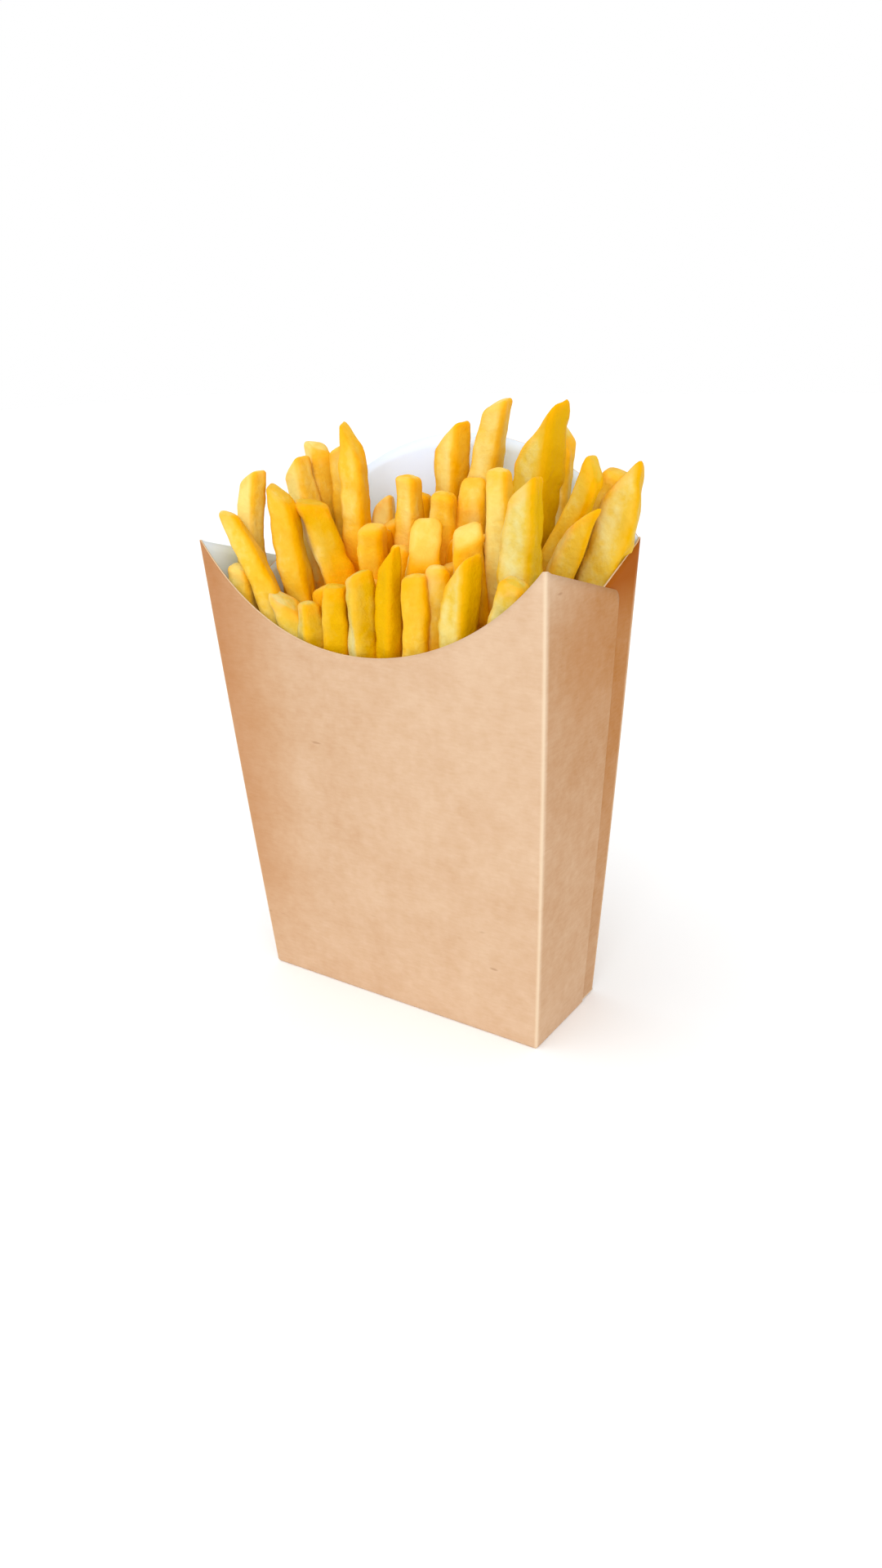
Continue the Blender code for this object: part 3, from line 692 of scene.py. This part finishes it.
def fry_surface(fry, seed, around, along, start):
    """Walls from the start height to the trimmed end, then a rim of quarter circles and the end face.

    The last two rows shrink to a point each, and become the poles that close the fry.
    """
    chance = np.random.default_rng(seed)
    angle, unit_a, unit_b = unit_section(around)
    foot, tip = np.array((*fry.foot, FOOT_HEIGHT)), np.array(fry.tip, float)
    begin = (start - FOOT_HEIGHT) / (tip[2] - FOOT_HEIGHT)
    length = np.linalg.norm(tip - foot) * (1 - begin)
    half = fry.size / 2
    rim = min(RIM, RIM_SHARE * half)

    bend = np.radians(np.linspace(0, 90, RIM_STEPS + 1))[1:]
    face = np.array(FACE_RINGS) * (1 - rim / half)
    inner = np.concatenate((np.ones(along), 1 - rim / half * (1 - np.cos(bend)), face, (0.0,)))[:, None]
    dome = np.array(DOME) * rim
    sink = np.concatenate((np.full(along, rim), rim * (1 - np.sin(bend)), dome, (rim,)))[:, None]

    turn = np.radians(fry.turn)
    fall = np.radians(fry.falls) - turn
    toward_a, toward_b = np.cos(fall), np.sin(fall)
    reach = half * (np.abs(toward_a) + np.abs(toward_b)) * fry.taper
    a, b = half * fry.taper * unit_a * inner, half * fry.taper * unit_b * inner
    past = np.clip((a * toward_a + b * toward_b + reach) / (2 * reach), 0, 1)
    end = length - fry.slope * 2 * reach * past**END_CURVE - sink
    climb = np.concatenate((np.linspace(0, 1, along), np.ones(len(bend) + len(face)), (0.0,)))[:, None]
    s = climb * end
    swell = 1 - (1 - fry.taper) * np.clip((s / length - TAPER_START) / (1 - TAPER_START), 0, 1) ** TAPER_CURVE
    relief = waves(chance, angle, s) * swell * inner
    a, b = half * unit_a * relief, half * unit_b * relief

    share = begin + (1 - begin) * s / length
    drift = chance.uniform(-DRIFT, DRIFT, (2, 1, 1))
    drift = drift * np.sin(np.pi * 2 * share * chance.uniform(0.6, 1.3, (2, 1, 1)))
    axis = foot + (tip - foot) * share[..., None]
    axis[..., 0] += 4 * fry.bow * share * (1 - share) + drift[0]
    axis[..., 1] += drift[1]
    tangent = (tip - foot) + np.stack((4 * fry.bow * (1 - 2 * share), 0 * share, 0 * share), -1)
    tangent /= np.linalg.norm(tangent, axis=-1, keepdims=True)
    twist = turn + np.radians(chance.uniform(-TWIST, TWIST)) * (share - 0.5)
    side = np.stack((np.cos(twist), np.sin(twist), 0 * twist), -1)
    side -= tangent * (side * tangent).sum(-1, keepdims=True)
    side /= np.linalg.norm(side, axis=-1, keepdims=True)
    depth = np.cross(tangent, side)
    points = inside_board(axis + side * a[..., None] + depth * b[..., None])

    unit = np.stack((unit_a, unit_b))
    normal = np.sign(unit) * np.abs(unit) ** (POWER - 1)
    normal /= np.linalg.norm(normal, axis=0)
    # Painted shade: deep is a deeper gold on the side of each fry turned from the light.
    shade_side_angle = np.radians(SHADED_SIDE) - turn
    deep = np.clip(0.15 + normal[0] * np.cos(shade_side_angle) + normal[1] * np.sin(shade_side_angle), 0, 1)
    corner = np.clip(-np.cos(4 * angle), 0, 1) ** 2
    # Painted shade: the deeper a point lies below the heap's top, the deeper its tone and the more orange its
    # colour.
    buried = np.clip((heap_height(points[..., 0], points[..., 1]) - points[..., 2]) / BURIED_DEPTH, 0, 1)
    flank = np.clip((inner - 0.55) / 0.35, 0, 1)
    tone = fry.tone + 0.45 - (1.1 * deep + 0.4 * corner) * flank - 0.35 * (1 - flank) - 0.5 * buried
    near_end = np.exp(-(((end - s) / RIM_GLOW) ** 2))
    # Browned corners and cut ends, and painted shade where buried.
    edge = np.clip(0.4 * corner + 0.7 * near_end * (inner > 0.7) + 1.6 * buried, 0, 2)
    cut = fry.cream * np.clip((0.95 - inner) / 0.2, 0, 1) + 0 * s
    return Surface(points, tone, edge + 0 * s, cut)


def with_poles(values):
    """A tube's rows as one list, then its two poles: the last row's point, then that of the row before."""
    values = values.reshape(*values.shape[:2], -1)
    foot, end = values[-1].mean(0, keepdims=True), values[-2].mean(0, keepdims=True)
    return np.concatenate((values[:-2].reshape(-1, values.shape[-1]), foot, end))


def join_fries(name, fries, around, along, start, first_seed):
    """Many closed fries as one mesh. The material reads their tone, lemon, browning and cut as attributes;
    tone and browning also carry painted shade.
    """
    surfaces = [fry_surface(fry, first_seed + number, around, along, start)
                for number, fry in enumerate(fries)]
    points = np.stack([with_poles(surface.points) for surface in surfaces])
    count = points.shape[1]
    step = np.arange(len(fries))[:, None, None] * count
    tube = tube_faces((count - 2) // around, around)
    faces = tuple((block + step).reshape(-1, block.shape[-1]) for block in tube)
    attributes = {key: np.stack([with_poles(getattr(surface, key)) for surface in surfaces])
                  for key in ("tone", "edge", "cut")}
    attributes["lemon"] = np.repeat([float(fry.lemon) for fry in fries], count)
    return make_piece(name, points, faces, (potato,), attributes)


START_HEIGHT = 84.0    # mm: the core hides what is below
standing = join_fries("standing_fries", placed, around=40, along=44, start=START_HEIGHT, first_seed=100)
filling = join_fries("filling_fries", fillers, around=24, along=14, start=START_HEIGHT, first_seed=500)

# %% [markdown]
# ## The core of the heap
# The fries stand close together below the mouth, and nothing shows of their lower halves. A plain core
# takes their place there. It is smaller than the heap, reaches only to where the fries are packed tight,
# and is fried potato too, painted at its deepest amber, so that a gap between two fries ends in an amber
# glow: painted shade for the light that bounces between the fries.

# %% Build the core
CORE_FOOT, CORE_TOP, CORE_GAP = 1.2, 90.0, 1.6
CORE_ROWS, CORE_AROUND = 30, 96
# The core's colour is painted shade: it takes the deep amber in full.
CORE_POWER, CORE_WAVE, CORE_GLOW = 12, 1.2, 3.0


def core_surface():
    """A rounded box that follows the carton's taper, with a top that rises and falls in low waves."""
    angle = np.linspace(0, 2 * np.pi, CORE_AROUND, endpoint=False)[None, :]
    radius = (np.abs(np.cos(angle)) ** CORE_POWER + np.abs(np.sin(angle)) ** CORE_POWER) ** (-1 / CORE_POWER)
    flat = np.linspace(1, 0, 10)[1:]
    inner = np.concatenate((np.linspace(0.97, 1.0, 2), np.ones(CORE_ROWS), flat, (0.0,)))[:, None]
    z = np.concatenate(((CORE_FOOT, CORE_FOOT + 0.5), np.linspace(CORE_FOOT + 1, CORE_TOP, CORE_ROWS),
                        np.full(len(flat), CORE_TOP), (CORE_FOOT,)))[:, None]
    x = (half_width(z) - CORE_GAP) * np.cos(angle) * radius * inner
    y = (half_depth(z) - CORE_GAP) * np.sin(angle) * radius * inner
    lift = CORE_WAVE * np.sin(x / 3.1) * np.sin(y / 2.7 + x / 9.0) * (z >= CORE_TOP) * (inner < 0.99)
    return np.stack((x, y, z + lift), -1)


core_points = with_poles(core_surface())
plain = np.zeros(len(core_points))
heart = make_piece("fries_core", core_points, tube_faces((len(core_points) - 2) // CORE_AROUND, CORE_AROUND),
                   (potato,), {"tone": plain, "lemon": plain, "edge": plain + CORE_GLOW, "cut": plain})

for piece in (standing, filling, heart):
    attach(piece, "root")
    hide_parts("fries")

# %% [markdown]
# ## Floor and light
# The setting is a white table in a bright, soft studio. White surroundings light every side, a little less
# from overhead. A large soft lamp high at the front left gives the fries their lit and shaded sides, and a
# second one, low at the front right, reaches into the gaps between them.

# %% Floor
FLOOR, PAPER_TOOTH = 3000.0, 40    # mm: half the floor's side, and the paper's faint unevenness
paper, tree = new_material("matt_white_paper")
place = add(tree, "ShaderNodeTexCoord").outputs["Object"]
tooth = add(tree, "ShaderNodeTexNoise", {"Vector": place, "Scale": 1 / (PAPER_TOOTH * MM), "Detail": 2.0})
tint = add(tree, "ShaderNodeMix", {0: tooth.outputs["Fac"], 6: linear("#fbfdff"), 7: linear("#feffff")},
           data_type="RGBA")
surface = add(tree, "ShaderNodeBsdfPrincipled", {
    "Base Color": tint.outputs[2], "Roughness": 0.9, "Specular IOR Level": 0.1})
add(tree, "ShaderNodeOutputMaterial", {"Surface": surface.outputs[0]})
corners = np.array(((-1, -1, 0), (1, -1, 0), (-1, 1, 0), (1, 1, 0)), float) * FLOOR
floor = make_piece("floor", corners, grid_faces(2, 2), (paper,))

# %% Lamps
scene = bpy.context.scene
scene.view_settings.view_transform = "Standard"
scene.world = bpy.data.worlds.new("studio")
scene.world.use_nodes = True
tree = scene.world.node_tree
tree.nodes["Background"].inputs["Color"].default_value = (1, 1, 1, 1)
sky = add(tree, "ShaderNodeTexCoord").outputs["Generated"]
upward = add(tree, "ShaderNodeSeparateXYZ", {0: sky}).outputs[2]
dome = add(tree, "ShaderNodeMapRange", {0: upward, 1: 0.5, 2: 0.8, 3: 1.0, 4: 0.6})
tree.links.new(dome.outputs[0], tree.nodes["Background"].inputs["Strength"])


def soft_light(name, azimuth, elevation, strength, spread):
    """A distant light in a direction given in degrees; spread is how wide it looks from the carton."""
    away = direction(*np.radians((azimuth, elevation)))
    light = bpy.data.objects.new(name, bpy.data.lights.new(name, "SUN"))
    light.data.energy, light.data.angle = strength, np.radians(spread)
    light.matrix_world = away.to_track_quat("Z", "Y").to_matrix().to_4x4()
    scene.collection.objects.link(light)
    print(name, strength, "W/m2")


soft_light("key_light", azimuth=-35, elevation=65, strength=0.8, spread=60)
soft_light("fill_light", azimuth=34, elevation=28, strength=1.0, spread=50)
